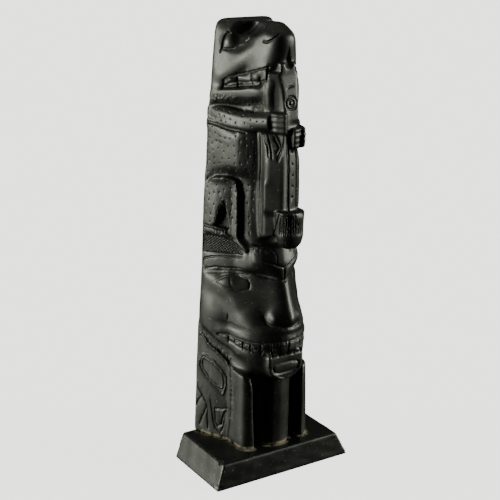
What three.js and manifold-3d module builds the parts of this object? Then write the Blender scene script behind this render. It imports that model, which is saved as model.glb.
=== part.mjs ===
// A model totem pole of black stone: a bear that holds a salmon sits on a great whale-like face with
// flippers, and the pole stands on a bevelled plinth. Millimetres, +Z up, the front looks along -Y.
// The origin is the middle of the plinth's underside.
import * as THREE from 'three';
import { mergeVertices } from 'three/addons/utils/BufferGeometryUtils.js';
import Module from 'manifold-3d';

const wasm = await Module();
wasm.setup();

// ---- driving dimensions ----
const PLINTH = { width: 70, depth: 38, height: 12, leftBevel: 3.8, rightBevel: 6.2, frontBevel: 0.4 };
const BACK = 19; // the pole's flat back, flush with the plinth's
const FOOT = PLINTH.height;
const CROWN = 197.8; // top of the bear's head
const BACK_CORNER = 1.6; // chamfer where the sides meet the back
const LAYER = 1.5; // how far a face or a flipper stands out of the ground of the carving
const FAR = 60; // half-length of a cutter that runs right through

// The ground of the pole at its main levels: half-width at the back, half-width and place of the turn
// from side to front, the front's middle, how square the front is, and how full the side is.
const LEVELS = [
  { z: FOOT, back: 25.8, front: 16, turn: 0, nose: -8.5, square: 3, full: 0 },
  { z: 40, back: 24.8, front: 15.6, turn: 0, nose: -9, square: 3, full: 0 },
  { z: 45, back: 24.6, front: 15.6, turn: 0, nose: -13.4, square: 2.2, full: 0 },
  { z: 54, back: 24.1, front: 15.6, turn: 0, nose: -17, square: 2.2, full: 0 },
  { z: 60, back: 23.8, front: 15.8, turn: 0, nose: -18.6, square: 2, full: 0.2 },
  { z: 66, back: 23.5, front: 15.8, turn: 0, nose: -18.6, square: 2, full: 0.8 },
  { z: 72, back: 23.2, front: 15.8, turn: 0, nose: -15.4, square: 1.9, full: 1.4 },
  { z: 79, back: 22.7, front: 13.6, turn: 0, nose: -13, square: 1.9, full: 1.8 },
  { z: 84.5, back: 22.4, front: 12.2, turn: 0, nose: -12.4, square: 1.9, full: 1 },
  { z: 88.5, back: 22.1, front: 11.4, turn: 1, nose: -12.4, square: 1.9, full: 0 },
  { z: 93, back: 21.9, front: 12.6, turn: 0, nose: -12.8, square: 2, full: 0.3 },
  { z: 102, back: 21.2, front: 11.6, turn: 0, nose: -11.6, square: 2, full: 0 },
  { z: 107, back: 21.1, front: 11.6, turn: 2, nose: -9, square: 2, full: 0 },
  { z: 118, back: 20.6, front: 11, turn: 3, nose: -8, square: 2, full: 0 },
  { z: 130, back: 19.9, front: 10.4, turn: 3, nose: -8, square: 2, full: -0.6 },
  { z: 136, back: 19.6, front: 11.4, turn: 2, nose: -9.4, square: 2, full: 1.4 },
  { z: 145, back: 19.1, front: 12, turn: 2, nose: -10.2, square: 2, full: 2.2 },
  { z: 153, back: 18.5, front: 11, turn: 2, nose: -9.4, square: 2, full: 1.4 },
  { z: 158, back: 18, front: 10, turn: 2, nose: -8, square: 2, full: 0 },
  { z: 163.4, back: 17.4, front: 9, turn: 2, nose: -7, square: 2.2, full: -0.4 },
  { z: 166, back: 17.2, front: 10, turn: 1, nose: -11.4, square: 2.4, full: 0.6 },
  { z: 171, back: 16.9, front: 9.8, turn: 1, nose: -12.4, square: 2.6, full: 1 },
  { z: 178, back: 16.4, front: 9.4, turn: 1, nose: -13.6, square: 2.8, full: 0.8 },
  { z: 182.4, back: 16, front: 9, turn: 1, nose: -15.8, square: 2.8, full: 0.8 },
  { z: 189, back: 15.4, front: 8, turn: 2, nose: -17, square: 2.6, full: 0.8 },
  { z: 193.6, back: 15, front: 7.6, turn: 2, nose: -17, square: 2.6, full: 0.4 },
  { z: 196.2, back: 14.8, front: 7.6, turn: 2, nose: -16.6, square: 2.6, full: 0 },
  { z: 197.4, back: 14.4, front: 6.8, turn: 2, nose: -14.6, square: 2.6, full: -0.4 },
  { z: CROWN, back: 13.8, front: 4.6, turn: 2, nose: -10, square: 2.4, full: -0.6 },
];
const RINGS = 38;
const SIDES = 28;
const FRONT_SHARE = 8 / 14; // of half the outline, from the front's middle to the turn
const SIDE_SHARE = 12 / 14; // to the end of the side
const BACK_SHARE = 13 / 14; // to the start of the back

// ---- solids ----
function solid(geometry) {
  const bare = geometry.clone();
  bare.deleteAttribute('normal');
  bare.deleteAttribute('uv');
  const merged = mergeVertices(bare, 1e-4);
  return new wasm.Manifold(new wasm.Mesh({
    numProp: 3,
    vertProperties: new Float32Array(merged.attributes.position.array),
    triVerts: new Uint32Array(merged.index.array),
  }));
}

function joined(solids) {
  return solids.reduce((whole, piece) => whole.add(piece));
}

// A closed skin over a round bar: place(share, turn) gives the point at a share of the height and a
// turn round the outline, 0 at the front and positive towards +X; middle(share) closes the ends.
function skin(sides, rings, place, middle) {
  const geometry = new THREE.CylinderGeometry(1, 1, 1, sides, rings);
  const points = geometry.attributes.position;
  for (let i = 0; i < points.count; i++) {
    const share = points.getY(i) + 0.5;
    const reach = Math.hypot(points.getX(i), points.getZ(i));
    const turn = Math.atan2(points.getX(i), points.getZ(i));
    const [x, y, z] = reach > 0.5 ? place(share, turn) : middle(share);
    points.setXYZ(i, x, y, z);
  }
  return solid(geometry);
}

// An outline drawn in the side view (front to back, height) and run across the whole pole.
function across(outline, reach = FAR) {
  const shape = new THREE.Shape(outline.map(([y, z]) => new THREE.Vector2(y, z)));
  const geometry = new THREE.ExtrudeGeometry(shape, { depth: 2 * reach, bevelEnabled: false });
  geometry.translate(0, 0, -reach);
  const axes = [new THREE.Vector3(0, 1, 0), new THREE.Vector3(0, 0, 1), new THREE.Vector3(1, 0, 0)];
  geometry.applyMatrix4(new THREE.Matrix4().makeBasis(...axes));
  return solid(geometry);
}

// An outline drawn in the front view (across, height) and run from one depth to another.
function facing(outline, front, back) {
  const shape = new THREE.Shape(outline.map(([x, z]) => new THREE.Vector2(x, z)));
  const geometry = new THREE.ExtrudeGeometry(shape, { depth: back - front, bevelEnabled: false });
  const axes = [new THREE.Vector3(1, 0, 0), new THREE.Vector3(0, 0, 1), new THREE.Vector3(0, -1, 0)];
  geometry.applyMatrix4(new THREE.Matrix4().makeBasis(...axes));
  geometry.translate(0, back, 0);
  return solid(geometry);
}

function standing(outline, foot, top) {
  const shape = new THREE.Shape(outline.map(([x, y]) => new THREE.Vector2(x, y)));
  const geometry = new THREE.ExtrudeGeometry(shape, { depth: top - foot, bevelEnabled: false });
  geometry.translate(0, 0, foot);
  return solid(geometry);
}

function ball(place, size, around = 16, up = 10) {
  const geometry = new THREE.SphereGeometry(1, around, up);
  geometry.rotateX(Math.PI / 2);
  geometry.scale(...size);
  geometry.translate(...place);
  return solid(geometry);
}

// A limb or a finger: an oval bar along a smooth path.
function limb(points, wide, high, sides = 8, steps = 8) {
  const path = new THREE.CatmullRomCurve3(points.map((p) => new THREE.Vector3(...p)));
  const section = new THREE.Shape();
  section.absellipse(0, 0, high, wide, 0, 2 * Math.PI);
  const options = { steps, extrudePath: path, curveSegments: sides, bevelEnabled: false };
  return solid(new THREE.ExtrudeGeometry(section, options));
}

function pair(make) {
  return joined([make(-1), make(1)]);
}

// A bar of superellipse sections: each level gives its height, half-width, front and back.
function tower(levels, square, sides = 16, rings = 10) {
  const foot = levels[0].z;
  const top = levels[levels.length - 1].z;
  const at = (share) => level(levels, foot + share * (top - foot));
  return skin(sides, rings, (share, turn) => {
    const { z, wide, front, back } = at(share);
    const x = Math.sign(Math.sin(turn)) * Math.abs(Math.sin(turn)) ** (2 / square);
    const y = -Math.sign(Math.cos(turn)) * Math.abs(Math.cos(turn)) ** (2 / square);
    return [x * wide, (front + back) / 2 + (y * (back - front)) / 2, z];
  }, (share) => [0, (at(share).front + at(share).back) / 2, at(share).z]);
}

// The values between two levels, eased so that no level shows as an edge.
function level(levels, z) {
  const upper = Math.max(1, levels.findIndex((entry) => entry.z >= z - 1e-6));
  const [low, high] = [levels[upper - 1], levels[upper]];
  const t = THREE.MathUtils.clamp((z - low.z) / (high.z - low.z), 0, 1);
  const ease = THREE.MathUtils.lerp(t, t * t * (3 - 2 * t), 0.6);
  return Object.fromEntries(Object.keys(low).map((key) => [
    key, key === 'z' ? z : THREE.MathUtils.lerp(low[key], high[key], ease),
  ]));
}

// ---- the pole's ground, and layers that stand out of it ----
function outlinePoint(share, { back, front, turn, nose, square, full }, raised) {
  const frontHalf = front + raised;
  if (share <= FRONT_SHARE) {
    const angle = (share / FRONT_SHARE) * (Math.PI / 2);
    const x = frontHalf * Math.sin(angle) ** (2 / square);
    const y = turn - (turn - nose + raised) * Math.cos(angle) ** (2 / square);
    return [x, y];
  }
  if (share <= SIDE_SHARE + 1e-6) {
    const t = (share - FRONT_SHARE) / (SIDE_SHARE - FRONT_SHARE);
    const bulge = (full + raised * 0.5) * Math.sin(Math.PI * t);
    return [
      THREE.MathUtils.lerp(frontHalf, back, t) + bulge,
      THREE.MathUtils.lerp(turn, BACK - BACK_CORNER, t),
    ];
  }
  const t = (share - BACK_SHARE) / (1 - BACK_SHARE);
  return [THREE.MathUtils.lerp(back - BACK_CORNER, 0, Math.max(t, 0)), BACK];
}

function column(raised, foot = FOOT, top = CROWN, rings = RINGS, levels = LEVELS) {
  const raisedAt = typeof raised === 'function' ? raised : () => raised;
  return skin(SIDES, rings, (share, turn) => {
    const z = foot + share * (top - foot);
    const [x, y] = outlinePoint(Math.abs(turn) / Math.PI, level(levels, z), raisedAt(z));
    return [Math.sign(turn) * x, y, z];
  }, (share) => [0, 0, foot + share * (top - foot)]);
}

// A raised layer: the part of a thicker column that lies inside a side-view outline.
function layer(raised, outline) {
  const heights = outline.map(([, z]) => z);
  const foot = Math.max(FOOT, Math.min(...heights) - 1);
  const top = Math.min(CROWN, Math.max(...heights) + 1);
  const rings = Math.max(2, Math.round((top - foot) / 4.5));
  return column(raised, foot, top, rings).intersect(across(outline));
}

// ---- the lower figure ----
const JAW_SIDE = [[-5, 54.6], [0.8, 56.6], [7.2, 59.5], [14, 63.9], [BACK + 1, 69.6]];
const JAW_FRONT = [[16, 55], [12.6, 52], [6, 46], [3.4, 43.8], [0, 43]];

function face() {
  const lift = (z) => LAYER * (1 - THREE.MathUtils.smoothstep(z, 74, 88));
  const mask = column(lift, 42, 88, 12);
  const behind = across([[-5, 30], ...JAW_SIDE, [BACK + 1, 30]]);
  const chin = [...JAW_FRONT.map(([x, z]) => [-x, z]), ...JAW_FRONT.slice(0, -1).reverse()];
  const below = facing([[-FAR, 30], [-FAR, 55], ...chin, [FAR, 55], [FAR, 30]], -FAR, -5);
  return joined([mask.subtract(behind).subtract(below), nose(), lips(), teeth(), tongue()]);
}

function nose() {
  const bridge = tower([
    { z: 69.6, wide: 6.4, front: -20.6, back: -2 },
    { z: 71.8, wide: 8, front: -23, back: -2 },
    { z: 74.2, wide: 8.2, front: -23.5, back: -2 },
    { z: 78, wide: 7.6, front: -21.2, back: -1 },
    { z: 84, wide: 7, front: -19, back: 0 },
    { z: 92, wide: 6, front: -16.4, back: 0 },
  ], 1.5, 20, 12);
  const wings = pair((side) => ball([side * 5.2, -17, 73.6], [2.6, 3.6, 3.4], 10, 6));
  return bridge.add(wings);
}

function lips() {
  const upper = tower([
    { z: 65.4, wide: 15.6, front: -19.4, back: 16 },
    { z: 67, wide: 16.8, front: -21.2, back: 17 },
    { z: 69, wide: 16.6, front: -21, back: 17 },
    { z: 70.8, wide: 15.6, front: -18.6, back: 16 },
  ], 1.9, 24, 3);
  const lower = tower([
    { z: 54.8, wide: 15, front: -17.6, back: 14 },
    { z: 56.6, wide: 16, front: -19, back: 15 },
    { z: 58.4, wide: 15.8, front: -19.2, back: 15 },
  ], 1.9, 24, 2);
  return upper.add(lower);
}

function teeth() {
  const count = 12;
  const blocks = [];
  for (let i = 0; i < count; i++) {
    const angle = ((i + 0.5) / count - 0.5) * Math.PI * 0.94;
    const block = new THREE.BoxGeometry(3.7, 3, 6.6);
    block.rotateZ(angle);
    block.translate(14.8 * Math.sin(angle), 1 - 20 * Math.cos(angle) ** 1.2, 62);
    blocks.push(solid(block));
  }
  return joined(blocks);
}

function tongue() {
  const outline = new THREE.Shape();
  outline.moveTo(-9, 58);
  outline.lineTo(-9, 51.8);
  outline.bezierCurveTo(-9, 42.6, 9, 42.6, 9, 51.8);
  outline.lineTo(9, 58);
  const points = outline.getPoints(10).map((p) => [p.x, p.y]);
  return facing(points, -20, -6).intersect(across([[-19, 58], [-18.9, 50], [-17.8, 44], [-6, 44], [-6, 58]]));
}

const FLIPPER_LEVELS = [
  { z: FOOT, back: 25.8, front: 17.9, turn: 1, nose: -13.4, square: 6, full: 0.3 },
  { z: 64, back: 23.6, front: 17.2, turn: 1, nose: -12.6, square: 6, full: 0.3 },
];

function flippers() {
  const shoulder = [[16.5, 60.5], [11, 56.2], [6, 53], [2, 50], [-2, 48]];
  const outline = [[BACK + 1, FOOT - 1], [BACK + 1, 62.5], ...shoulder, [-14.5, 46.5], [-14.5, FOOT - 1]];
  const plates = column(0, FOOT, 64, 4, FLIPPER_LEVELS).intersect(across(outline));
  const gap = facing([[-12.2, FOOT - 1], [-13, 50], [13, 50], [12.2, FOOT - 1]], -20, -4);
  return plates.subtract(gap);
}

function belly() {
  return tower([
    { z: FOOT, wide: 8.4, front: -14.6, back: 4 },
    { z: 30, wide: 8.4, front: -15, back: 4 },
    { z: 52, wide: 8, front: -15.4, back: 4 },
  ], 2.2, 16, 3);
}

function brow() {
  const band = layer(LAYER + 0.3, [
    [BACK + 1, 88.6], [6, 90.3], [-6, 92.6], [-17, 93.4], [-17, 103.5], [-2, 100.2], [BACK + 1, 96.2],
  ]);
  const crest = tower([
    { z: 89.8, wide: 3, front: -16.6, back: -4 },
    { z: 93, wide: 8, front: -16.9, back: -2 },
    { z: 97, wide: 12, front: -16.6, back: 0 },
    { z: 104.8, wide: 11, front: -14.6, back: 0 },
  ], 1.7, 20, 7);
  return band.add(crest);
}

// ---- the bear ----
function legs() {
  const hatched = layer(LAYER * 0.7, [[BACK + 1, 96], [-1, 100], [-5.2, 101.6], [3.8, 106], [BACK + 1, 107.5]]);
  const sole = layer(3, [[BACK + 1, 107.2], [3.6, 106], [-5.2, 101.4], [-6.4, 102.6], [3, 109.2], [BACK + 1, 110.6]]);
  const thigh = [[BACK + 1, 110], [BACK + 1, 121], [15, 129.4], [11.4, 131.8], [6, 132.6], [2, 131.2]];
  const shin = [[0.6, 126], [-0.8, 107], [3.6, 106.6], [7.2, 122], [9.8, 111]];
  const bent = layer(3.2, [...thigh, ...shin]);
  return joined([hatched, sole, bent]);
}

function body() {
  return ball([0, 0, 140], [9.6, 11.4, 20], 16, 10);
}

function arms() {
  const left = limb([
    [-15.2, 19.5, 158.6], [-14.2, 10, 158], [-11.6, 0, 157.2], [-8.8, -8, 157.4], [-6.4, -14.8, 158.2],
  ], 2.8, 4, 6, 8);
  const right = limb([
    [15.2, 19.5, 158.6], [14.2, 10, 157.6], [11.6, 0, 155], [8.6, -9, 152.8], [6.2, -15.4, 152.2],
  ], 2.8, 3.8, 6, 8);
  return joined([left, right, leftHand(), rightHand()]);
}

const FINGERS = 4;
const FINGER_PITCH = 2.15;

function leftHand() {
  const fingers = [];
  for (let i = 0; i < FINGERS; i++) {
    const z = 155 + i * FINGER_PITCH;
    fingers.push(limb([[-7, -13.4, z], [-5.8, -17, z], [-3.4, -21, z]], 1.2, 1.02, 5, 2));
  }
  return joined(fingers);
}

function rightHand() {
  const fingers = [];
  for (let i = 0; i < FINGERS; i++) {
    const z = 148.9 + i * FINGER_PITCH;
    const bulge = 0.5 * Math.sin(((i + 0.5) / FINGERS) * Math.PI);
    fingers.push(limb([
      [7, -15, z], [5.4 + bulge, -19.6, z], [3.2, -22 - bulge, z], [-0.8, -22.2, z],
    ], 1.3, 1.05, 5, 5));
  }
  return joined(fingers);
}

// ---- the salmon ----
const SALMON = { top: 178, tailRim: 121.6, foot: 104.8 };

function salmon() {
  const half = [[2.8, -24], [3.2, -20.4], [4.2, -17.2], [8, -11.6], [7.4, -8], [7.2, -5]];
  const plan = [...half.map(([x, y]) => [-x, y]).reverse(), ...half];
  const profile = [
    [-4, SALMON.foot + 2], [-18, SALMON.foot + 6], [-22, SALMON.tailRim], [-21.8, 140], [-20.6, 155],
    [-19.4, 165], [-18.2, 172], [-16.6, SALMON.top], [-4, SALMON.top],
  ];
  const trunk = standing(plan, SALMON.foot, SALMON.top).intersect(across(profile));
  return trunk.add(tail());
}

function tail() {
  const flutes = 18;
  const fluteDepth = 0.4;
  const cup = [
    [0, SALMON.foot], [3.4, SALMON.foot + 0.8], [5.2, 107.6], [6, 110.8], [6.2, 113],
    [6.5, SALMON.tailRim], [0, SALMON.tailRim],
  ];
  const geometry = new THREE.LatheGeometry(cup.map(([r, z]) => new THREE.Vector2(r, z)), flutes * 2);
  geometry.rotateX(Math.PI / 2);
  const points = geometry.attributes.position;
  for (let i = 0; i < points.count; i++) {
    const angle = Math.atan2(points.getX(i), points.getY(i));
    const hollow = Math.round((angle / Math.PI) * flutes) % 2 !== 0;
    const shrink = hollow && points.getZ(i) > 112 ? 1 - fluteDepth / 6.4 : 1;
    points.setXY(i, points.getX(i) * shrink, points.getY(i) * shrink * 0.92);
  }
  geometry.translate(0, -19.4, 0);
  return solid(geometry);
}

// ---- the bear's head ----
const MOUTH = [
  [12.6, 170.8], [11, 172.6], [4.7, 175.4], [-3.9, 177.6], [-12, 179.8], [-22, 182.2],
  [-22, 173.6], [-12, 172.6], [-4, 171.2], [11, 168.8],
];

function head() {
  const snout = pair((side) => limb([
    [side * 8.6, 16.6, 173], [side * 6.4, 11.4, 177], [side * 2.4, 2.8, 182.4], [side * 0.6, -3.6, 186],
  ], 8, 8.4, 12, 6));
  const jaw = layer(LAYER * 0.8, [
    [BACK + 1, 165], [7, 164.4], [-7, 165.4], [-14, 164.6], [-16, 172.6], [-4, 171.2], [11, 168.8], [BACK + 1, 169],
  ]);
  const hollows = pair((side) => ball([side * 6.6, 0.4, 196.6], [5, 7.6, 4.8], 12, 8));
  const mouth = across(MOUTH).subtract(column(-0.5, 164, 184, 5));
  const corners = pair((side) => ball([side * 19, 21, 204], [14, 14, 8.4], 12, 8));
  return { muzzle: snout.add(jaw), hollows, mouth, corners, teeth: bearTeeth() };
}

function bearTeeth() {
  const row = [];
  const edges = [9.8, 3.8, -3.9, -8.5, -12.2];
  const gum = (y) => 176.6 - 0.36 * y;
  const bite = (y) => 172.6 - 0.17 * y;
  for (let i = 0; i + 1 < edges.length; i++) {
    const [back, front] = [edges[i] - 0.25, edges[i + 1] + 0.25];
    const tooth = [[back, gum(back)], [front, gum(front)], [front, bite(front)], [back, bite(back)]];
    row.push(layer(0.5, tooth));
  }
  const incisors = pair((side) => {
    const tooth = new THREE.BoxGeometry(3.7, 5, 6.4);
    tooth.translate(side * 1.9, -14.4, 178.8);
    return solid(tooth);
  });
  return joined([...row, incisors]);
}

// ---- the plinth ----
function plinth() {
  const { width, depth, height, leftBevel, rightBevel, frontBevel } = PLINTH;
  const geometry = new THREE.BoxGeometry(width, depth, height);
  const points = geometry.attributes.position;
  for (let i = 0; i < points.count; i++) {
    if (points.getZ(i) < 0) continue;
    const x = points.getX(i) < 0 ? -width / 2 + leftBevel : width / 2 - rightBevel;
    const y = points.getY(i) < 0 ? -depth / 2 + frontBevel : depth / 2;
    points.setXY(i, x, y);
  }
  geometry.translate(0, 0, height / 2);
  return solid(geometry);
}

// ---- the two pieces ----
function pole() {
  const { muzzle, hollows, mouth, corners, teeth: biting } = head();
  const ground = joined([column(0), muzzle]).subtract(hollows).subtract(corners).subtract(mouth);
  const forms = [ground, biting, face(), flippers(), belly(), brow(), legs(), body(), arms(), salmon()];
  const room = across([[-FAR, FOOT], [BACK, FOOT], [BACK, 200], [-FAR, 200]]);
  return joined(forms).intersect(room);
}

function mesh(name, shape, colour, roughness) {
  const { vertProperties, triVerts } = shape.getMesh();
  const geometry = new THREE.BufferGeometry();
  geometry.setAttribute('position', new THREE.BufferAttribute(new Float32Array(vertProperties), 3));
  geometry.setIndex(new THREE.BufferAttribute(new Uint32Array(triVerts), 1));
  geometry.computeVertexNormals();
  const material = new THREE.MeshStandardMaterial({ color: colour, roughness, metalness: 0 });
  const piece = new THREE.Mesh(geometry, material);
  piece.name = name;
  return piece;
}

const group = new THREE.Group();
group.add(mesh('pole', pole(), 0x1c1e1d, 0.36));
group.add(mesh('plinth', plinth(), 0x242725, 0.42));

export default group;
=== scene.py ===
"""A model totem pole of black stone: a bear that holds a salmon, above a whale-like face with flippers,
on a bevelled plinth. Metres, +Z up, the front towards -Y, on the CAD frame."""
import math
import random

import bmesh
import bpy
import numpy as np
from mathutils import Matrix, Vector, kdtree


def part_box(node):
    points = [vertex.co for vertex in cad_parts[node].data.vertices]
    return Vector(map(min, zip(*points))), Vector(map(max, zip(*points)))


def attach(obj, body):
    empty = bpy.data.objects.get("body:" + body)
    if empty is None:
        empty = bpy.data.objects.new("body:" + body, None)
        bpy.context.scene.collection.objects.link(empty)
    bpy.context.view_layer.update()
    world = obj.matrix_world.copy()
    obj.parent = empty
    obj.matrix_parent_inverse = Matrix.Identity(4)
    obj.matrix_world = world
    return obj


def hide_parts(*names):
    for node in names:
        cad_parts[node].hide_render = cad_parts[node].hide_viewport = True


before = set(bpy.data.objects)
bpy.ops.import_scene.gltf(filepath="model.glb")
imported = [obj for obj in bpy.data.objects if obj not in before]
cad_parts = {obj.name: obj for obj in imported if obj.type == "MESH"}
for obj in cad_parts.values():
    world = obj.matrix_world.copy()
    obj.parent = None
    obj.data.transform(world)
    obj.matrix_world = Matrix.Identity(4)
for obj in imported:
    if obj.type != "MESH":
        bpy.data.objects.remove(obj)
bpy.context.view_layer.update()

MM = 0.001
POLE_LOW, POLE_HIGH = (Vector(corner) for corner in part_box("pole"))
PLINTH_LOW, PLINTH_HIGH = (Vector(corner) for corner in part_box("plinth"))
FOOT = POLE_LOW.z / MM

# Millimetres: the grain of the pole as it is blocked out, then as it is carved, and of the plinth.
ROUGHING, FINE, PLINTH_GRAIN = 0.5, 0.3, 0.45
POLE_TRIANGLES = 194000
DOT_SEED, CHISEL_SEED = 11, 3


# ---- mesh helpers ----
def finished(name, mesh, material, stands_for):
    """A piece in its place, which stands for a CAD node and rides with it."""
    mesh.name = name
    piece = bpy.data.objects.new(name, mesh)
    bpy.context.scene.collection.objects.link(piece)
    mesh.materials.clear()
    mesh.materials.append(material)
    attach(piece, "root")
    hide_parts(stands_for)
    return piece


def voxels(grain):
    """The settings of a remesh into even squares, grain millimetres wide."""
    return "REMESH", {"mode": "VOXEL", "voxel_size": grain * MM}


def with_modifiers(mesh, *settings):
    """The mesh after modifiers, each given as (type, values)."""
    holder = bpy.data.objects.new("holder", mesh)
    bpy.context.scene.collection.objects.link(holder)
    for kind, values in settings:
        modifier = holder.modifiers.new(kind.title(), kind)
        for key, value in values.items():
            setattr(modifier, key, value)
    depsgraph = bpy.context.evaluated_depsgraph_get()
    result = bpy.data.meshes.new_from_object(holder.evaluated_get(depsgraph))
    bpy.data.objects.remove(holder)
    return result


def merged_copy(node):
    """A welded copy of a CAD node's mesh; the node itself is left alone."""
    work = bmesh.new()
    work.from_mesh(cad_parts[node].data)
    bmesh.ops.remove_doubles(work, verts=work.verts, dist=1e-6)
    mesh = bpy.data.meshes.new(node + "_copy")
    work.to_mesh(mesh)
    work.free()
    return mesh


def blend(low, high, values):
    """0 below low and 1 above high, eased between; the other way round where low is above high."""
    t = np.clip((values - low) / (high - low), 0, 1)
    return t * t * (3 - 2 * t)


def window(values, low, high, soft):
    """1 between low and high, fading over soft outside them."""
    return blend(low - soft, low, values) * (1 - blend(high, high + soft, values))


def as_drawn(path):
    return path


def mirrored(path):
    return [(-x, y, z) for x, y, z in path]


BOTH_SIDES = (as_drawn, mirrored)


class Clay:
    """The points of an all-quad mesh as arrays in millimetres, for moves made by the carving tools."""

    def __init__(self, mesh):
        self.mesh = mesh
        count = len(mesh.vertices)
        flat = np.empty(count * 3, np.float32)
        mesh.vertices.foreach_get("co", flat)
        self.points = flat.reshape(-1, 3).astype(float) / MM
        ends = np.empty(len(mesh.edges) * 2, np.int32)
        mesh.edges.foreach_get("vertices", ends)
        self.ends = ends.reshape(-1, 2)
        self.degree = np.bincount(self.ends.ravel(), minlength=count).astype(float)
        corners = np.empty(len(mesh.loops), np.int32)
        mesh.loops.foreach_get("vertex_index", corners)
        self.quads = corners.reshape(-1, 4)
        self.settle()

    def settle(self):
        """Works out the normals again."""
        p = self.points[self.quads]
        face = np.cross(p[:, 2] - p[:, 0], p[:, 3] - p[:, 1])
        total = np.zeros_like(self.points)
        for corner in range(4):
            for axis in range(3):
                total[:, axis] += np.bincount(self.quads[:, corner], face[:, axis], len(total))
        self.normals = total / np.maximum(np.linalg.norm(total, axis=1, keepdims=True), 1e-12)

    def find_places(self):
        """Notes where the surface lies, for the lines that are laid on it."""
        self.places = kdtree.KDTree(len(self.points))
        for index, point in enumerate(self.points):
            self.places.insert(point, index)
        self.places.balance()

    def average(self, values):
        """The mean of each point's neighbours."""
        a, b = self.ends.T
        total = np.zeros_like(values)
        for axis in range(values.shape[1]):
            total[:, axis] = (np.bincount(a, values[b, axis], len(values))
                              + np.bincount(b, values[a, axis], len(values)))
        return total / self.degree[:, None]

    def relax(self, weight, rounds):
        """Rubs the surface smooth where weight is above 0."""
        pull = (0.6 * weight)[:, None]
        for _ in range(rounds):
            self.points += pull * (self.average(self.points) - self.points)

    def on_surface(self, path, step=0.8):
        """Places along a line, each laid on the surface."""
        laid = []
        for start, end in zip(path[:-1], path[1:]):
            start, end = Vector(start), Vector(end)
            steps = max(1, round((end - start).length / step))
            laid += [start.lerp(end, i / steps) for i in range(steps)]
        laid.append(Vector(path[-1]))
        return np.array([self.places.find(place)[0] for place in laid])

    def near(self, path, reach):
        """The points near a line, their distance from it, and the share of its length they lie at."""
        line = self.on_surface(path) if len(path) > 1 else np.array([path[0], path[0]], float)
        inside = ((self.points > line.min(0) - reach) & (self.points < line.max(0) + reach)).all(1)
        chosen = np.flatnonzero(inside)
        points = self.points[chosen]
        best = np.full(len(points), 1e9)
        share = np.zeros(len(points))
        for i, (start, end) in enumerate(zip(line[:-1], line[1:])):
            leg = end - start
            t = np.clip(((points - start) @ leg) / max(leg @ leg, 1e-9), 0, 1)
            distance = np.linalg.norm(points - start - t[:, None] * leg, axis=1)
            closer = distance < best
            best[closer] = distance[closer]
            share[closer] = (i + t[closer]) / (len(line) - 1)
        keep = best < reach
        return chosen[keep], best[keep], share[keep]

    def groove(self, path, half=0.55, depth=0.5, ends=1.0):
        """Cuts a rounded groove along a line; ends below 1 thins it towards both ends."""
        chosen, distance, share = self.near(path, half)
        taper = ends + (1 - ends) * np.sin(np.pi * share) ** 0.5
        cut = depth * taper * (1 - (distance / half) ** 2)
        self.points[chosen] -= self.normals[chosen] * cut[:, None]

    def ridge(self, path, half=0.8, height=0.5, ends=1.0):
        self.groove(path, half, -height, ends)

    def wedge(self, path, halves, depths):
        """A cut that widens and deepens from one end of a line to the other."""
        chosen, distance, share = self.near(path, max(halves))
        half = halves[0] + (halves[1] - halves[0]) * share
        depth = depths[0] + (depths[1] - depths[0]) * share
        cut = depth * np.clip(1 - distance / half, 0, 1)
        self.points[chosen] -= self.normals[chosen] * cut[:, None]

    def swell(self, middle, radii, height):
        """Raises a soft mound, or sinks a hollow where height is below 0, square to the surface there."""
        offset = (self.points - np.array(middle)) / np.array(radii)
        reach = (offset ** 2).sum(1)
        chosen = np.flatnonzero(reach < 1)
        direction = self.normals[chosen].mean(0)
        direction /= np.linalg.norm(direction)
        self.points[chosen] += ((1 - reach[chosen]) ** 2 * height)[:, None] * direction

    def pits(self, places, radius, depth):
        """Pricks a small round pit at each place."""
        for place in places:
            for _, index, distance in self.places.find_range(place, radius * 1.3):
                self.points[index] -= self.normals[index] * depth * max(0, 1 - (distance / radius) ** 2)

    def scattered(self, zone, spacing, source):
        """Places on the surface where zone is true, no nearer to each other than spacing."""
        taken = []
        cells = {}
        order = list(np.flatnonzero(zone))
        source.shuffle(order)
        for index in order:
            point = self.points[index]
            cell = tuple((point // spacing).astype(int))
            around = (cells.get((cell[0] + i, cell[1] + j, cell[2] + k), ())
                      for i in (-1, 0, 1) for j in (-1, 0, 1) for k in (-1, 0, 1))
            if all(np.linalg.norm(point - other) >= spacing for others in around for other in others):
                cells.setdefault(cell, []).append(point)
                taken.append(point)
        return taken

    def depth_below(self, rounds):
        """How far each point lies under the surface once that is rubbed smooth, in millimetres."""
        kept = self.points.copy()
        self.relax(np.ones(len(kept)), rounds)
        level, self.points = self.points, kept
        return ((level - kept) * self.normals).sum(1)

    def store(self):
        self.mesh.vertices.foreach_set("co", (self.points * MM).astype(np.float32).ravel())
        self.mesh.update()


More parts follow.
